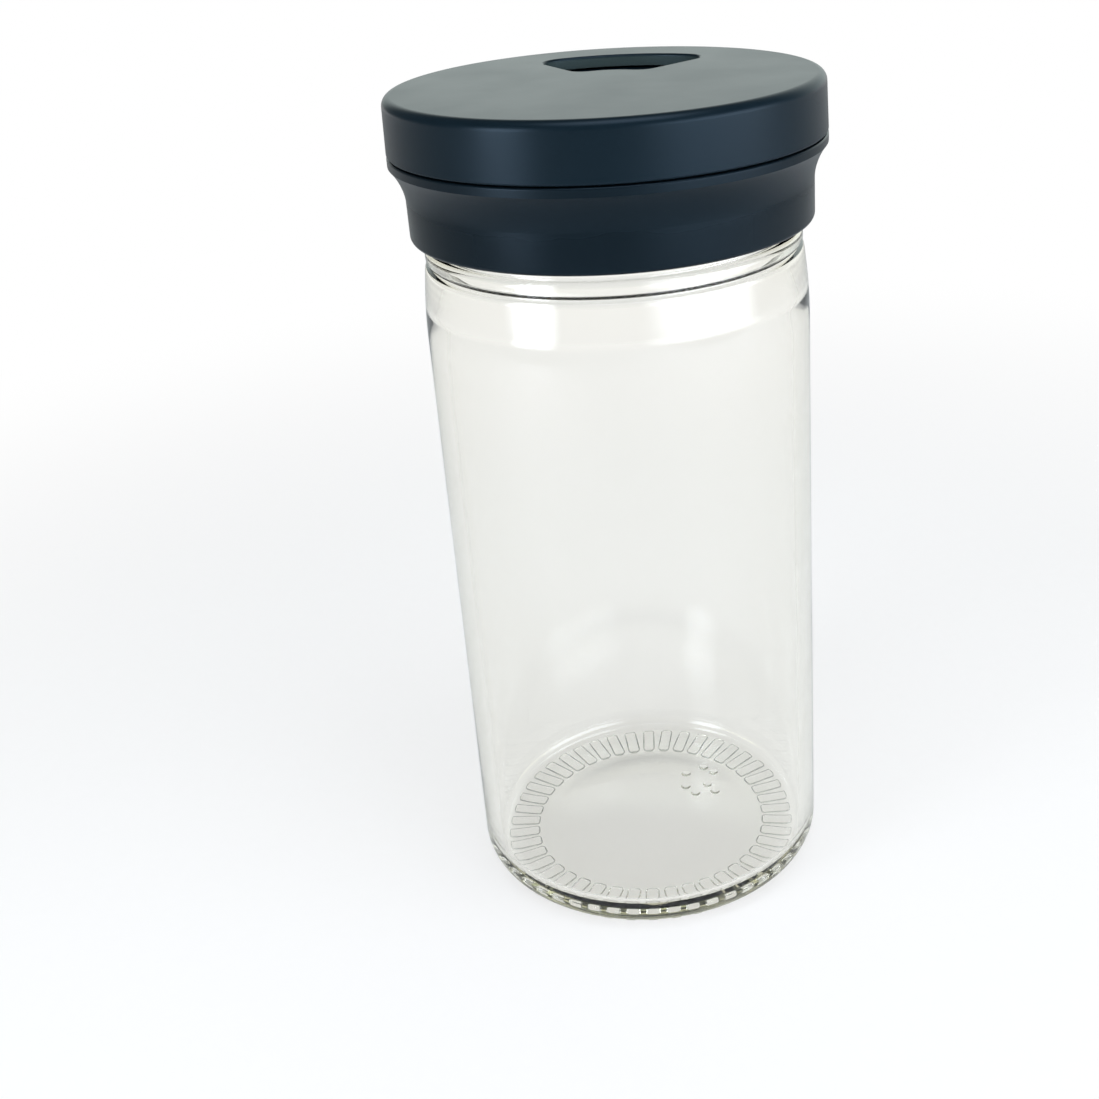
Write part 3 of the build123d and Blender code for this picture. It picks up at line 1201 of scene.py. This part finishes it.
@dataclass
class Studio:
    """Pale floor, plain soft light and the camera of the photograph."""

    softboxes: tuple = (
        Softbox(Light.LEFT, (-0.216, -0.236, 0.15), 0.19, 0.29, 2.0),
        Softbox(Light.RIGHT, (0.331, -0.165, 0.15), 0.68, 0.29, 4.6),
        Softbox(Light.TOP, (0.06, -0.13, 0.6), 0.6, 0.5, 4.8),
    )
    floor_radius: float = 14.0
    floor_colours: tuple = ("e6e4e0", "eae8e5")
    floor_grain_mm: float = 2.0
    room_colour: str = "effbf7"
    wall_heading: float = -7.0
    wall_side: tuple = (0.55, 0.92)
    wall_top: tuple = (0.45, 0.8)
    sweep_top: tuple = (0.1, 0.6)
    back_level: float = 1.4
    front_level: float = 0.15
    floor_white: float = 0.7
    floor_through_glass: float = 0.68
    floor_fade: tuple = (0.09, 0.3)
    far_fade: tuple = (0.25, 1.2)
    heading: float = 9.5
    distance: float = 186.703
    eye_height: float = 140.754
    yaw: float = 0.00730
    pitch: float = 0.42857
    roll: float = -0.06093
    focal_pixels: float = 1477.357
    centre_pixels: tuple = (640.0, 495.0)

    def build(self) -> None:
        """Sets the floor, the world, the lamps, the camera and the plain view."""
        self._floor()
        self._world()
        for softbox in self.softboxes:
            softbox.build()
        self._camera()
        bpy.context.scene.view_settings.view_transform = "Standard"
        # Light goes round inside the thick heel of the glass many times before it leaves.
        bpy.context.scene.cycles.glossy_bounces = 7

    def _floor(self) -> None:
        """Pale sweep under the jar, which fades to white far out and is clear from below."""
        deselect_everything()
        bpy.ops.mesh.primitive_circle_add(vertices=96, radius=self.floor_radius, fill_type="NGON")
        floor = bpy.context.object
        floor.name = floor.data.name = "studio_floor"
        material, tree = new_material("pale_paper_floor")
        clouds = noise(tree, self.floor_grain_mm, detail=3.0)
        surface = {
            "Base Color": blend_colours(tree, clouds, *self.floor_colours),
            "Roughness": 0.9,
            "Specular IOR Level": 0.1,
        }
        paper = add_node(tree, "BsdfPrincipled", surface)
        white = add_node(tree, "Emission", {"Color": linear("ffffff"), "Strength": 1.0})
        place = add_node(tree, "TexCoord").outputs["Object"]
        reach = add_node(tree, "VectorMath", {0: place}, operation="LENGTH")
        path = add_node(tree, "LightPath")
        share = ramp(tree, reach.outputs["Value"], self.far_fade, (0.0, 1.0))
        for ray, level in (
            ("Is Camera Ray", self.floor_white),
            ("Is Transmission Ray", self.floor_through_glass),
        ):
            fade = ramp(tree, reach.outputs["Value"], self.floor_fade, (level, 1.0))
            seen = calculate(tree, "MULTIPLY", path.outputs[ray], fade)
            share = calculate(tree, "MAXIMUM", share, seen)
        mix = mix_shaders(tree, share, paper, white)
        below = add_node(tree, "NewGeometry").outputs["Backfacing"]
        sheet = mix_shaders(tree, below, mix, add_node(tree, "BsdfTransparent"))
        add_node(tree, "OutputMaterial", {"Surface": sheet.outputs[0]})
        floor.data.materials.append(material)

    def _world(self) -> None:
        """White to the eye, and to the lid a soft room with a bright wall low behind the jar."""
        world = bpy.data.worlds.new("soft_room")
        world.use_nodes = True
        tree = world.node_tree
        tree.nodes.clear()
        turn = math.radians(self.wall_heading)
        back = (-math.sin(turn), math.cos(turn), 0.0)
        direction = add_node(tree, "TexCoord").outputs["Generated"]
        facing = add_node(tree, "VectorMath", {0: direction, 1: back}, operation="DOT_PRODUCT")
        height = add_node(tree, "SeparateXYZ", {"Vector": direction}).outputs["Z"]
        behind = ramp(tree, facing.outputs["Value"], self.wall_side, (0.0, 1.0))
        low = ramp(tree, height, self.wall_top, (1.0, 0.0))
        wall = calculate(tree, "MULTIPLY", behind, low)
        level = ramp(tree, wall, (0.0, 1.0), (self.front_level, self.back_level))
        room = add_node(tree, "Background", {"Color": linear(self.room_colour), "Strength": level})
        white = add_node(tree, "Background", {"Color": linear("ffffff"), "Strength": 1.0})
        path = add_node(tree, "LightPath")
        sweep = ramp(tree, height, self.sweep_top, (1.0, 0.0))
        through = calculate(tree, "MULTIPLY", path.outputs["Is Transmission Ray"], sweep)
        seen = calculate(tree, "MAXIMUM", path.outputs["Is Camera Ray"], through)
        mix = mix_shaders(tree, seen, room, white)
        add_node(tree, "OutputWorld", {"Surface": mix.outputs[0]})
        bpy.context.scene.world = world

    def _camera(self) -> None:
        """Camera at the photograph's place, angle and framing."""
        turn = Matrix.Rotation(math.radians(self.heading), 3, "Z")
        ahead = Vector(
            (
                math.sin(self.yaw) * math.cos(self.pitch),
                math.cos(self.yaw) * math.cos(self.pitch),
                -math.sin(self.pitch),
            )
        )
        level = Vector((math.cos(self.yaw), -math.sin(self.yaw), 0))
        upright = level.cross(ahead)
        right = math.cos(self.roll) * level + math.sin(self.roll) * upright
        up = math.cos(self.roll) * upright - math.sin(self.roll) * level
        axes = Matrix((turn @ right, turn @ up, turn @ -ahead)).transposed()
        place = turn @ Vector((0, mm(-self.distance), mm(self.eye_height)))
        deselect_everything()
        bpy.ops.object.camera_add()
        camera = bpy.context.object
        camera.name = camera.data.name = "photo_camera"
        camera.matrix_world = Matrix.Translation(place) @ axes.to_4x4()
        camera.data.sensor_width = 36.0
        camera.data.lens = self.focal_pixels / PHOTO_SIDE * camera.data.sensor_width
        camera.data.shift_x = (PHOTO_SIDE / 2 - self.centre_pixels[0]) / PHOTO_SIDE
        camera.data.shift_y = (self.centre_pixels[1] - PHOTO_SIDE / 2) / PHOTO_SIDE
        camera.data.clip_start, camera.data.clip_end = 0.01, 60.0
        bpy.context.scene.camera = camera


# Assembly


@dataclass(frozen=True)
class Seat:
    """Where a built piece belongs: its CAD node, its body and its material slot."""

    node: str
    body: str
    slot: str


def seat_piece(piece: Piece, seat: Seat) -> None:
    """Puts a finished piece in the place of its CAD node.

    Args:
        piece: The finished mesh, at the origin with its place in its mesh.
        seat: Its node, body and slot.
    """
    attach(piece, seat.body)
    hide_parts(seat.node)
    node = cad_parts[seat.node]
    node.data.materials.clear()
    node.data.materials.append(piece.data.materials[0])
    low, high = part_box(seat.node)
    points = [v.co for v in piece.data.vertices]
    off = max(
        abs(end(p[i] for p in points) - side[i])
        for end, side in ((min, low), (max, high))
        for i in range(3)
    )
    triangles = sum(len(face.vertices) - 2 for face in piece.data.polygons)
    report = "%s: %d triangles, box within %.3f mm of its solid's"
    log.info(report, piece.name, triangles, off * 1000)


def main() -> None:
    """Builds the jar's pieces in order, seats them on their bodies and sets the studio."""
    logging.basicConfig(level=logging.INFO, format="%(name)s: %(message)s")
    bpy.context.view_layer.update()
    for assembly, seat in (
        (GlassJar(), Seat("glass_jar", "jar", "glass")),
        (MouthGasket(), Seat("mouth_gasket", "seal", "seal")),
        (ScrewCollar(), Seat("screw_collar", "collar", "collar_plastic")),
        (RotaryCap(), Seat("rotary_cap", "cap", "cap_plastic")),
    ):
        seat_piece(assembly.build(), seat)
    Studio().build()
    deselect_everything()


if __name__ == "__main__":
    main()
